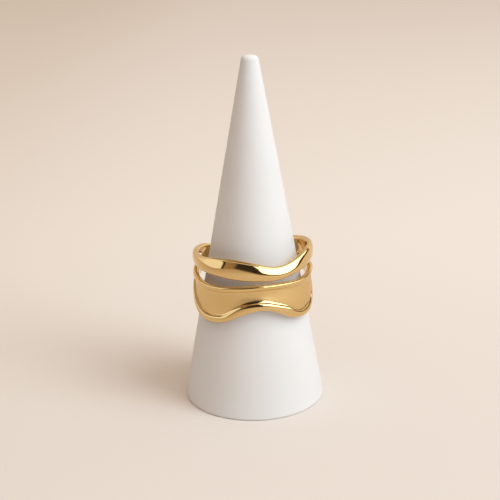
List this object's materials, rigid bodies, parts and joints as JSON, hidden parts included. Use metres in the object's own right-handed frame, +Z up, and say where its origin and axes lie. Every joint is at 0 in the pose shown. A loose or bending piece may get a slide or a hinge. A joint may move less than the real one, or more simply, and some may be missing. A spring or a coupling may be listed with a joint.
{
  "type": "double band ring on a ring cone stand",
  "caption": "Wide cast finger ring of joined wavy bands with a slot between them, standing on a plain tapered ring cone.",
  "frame": {"origin": "centre of the stand's flat foot, on the surface it stands on", "axes": "+Z up along the cone, -Y to the front where the slot between the bands is widest in view, +X to the right seen from the front"},
  "size_m": [0.0238, 0.0238, 0.0589],
  "materials": {
    "polished_gold": "polished gold plate",
    "matt_white": "matt"
  },
  "bodies": {
    "root": {"double_band": "polished_gold", "cone_stand": "matt_white"}
  },
  "joints": []
}
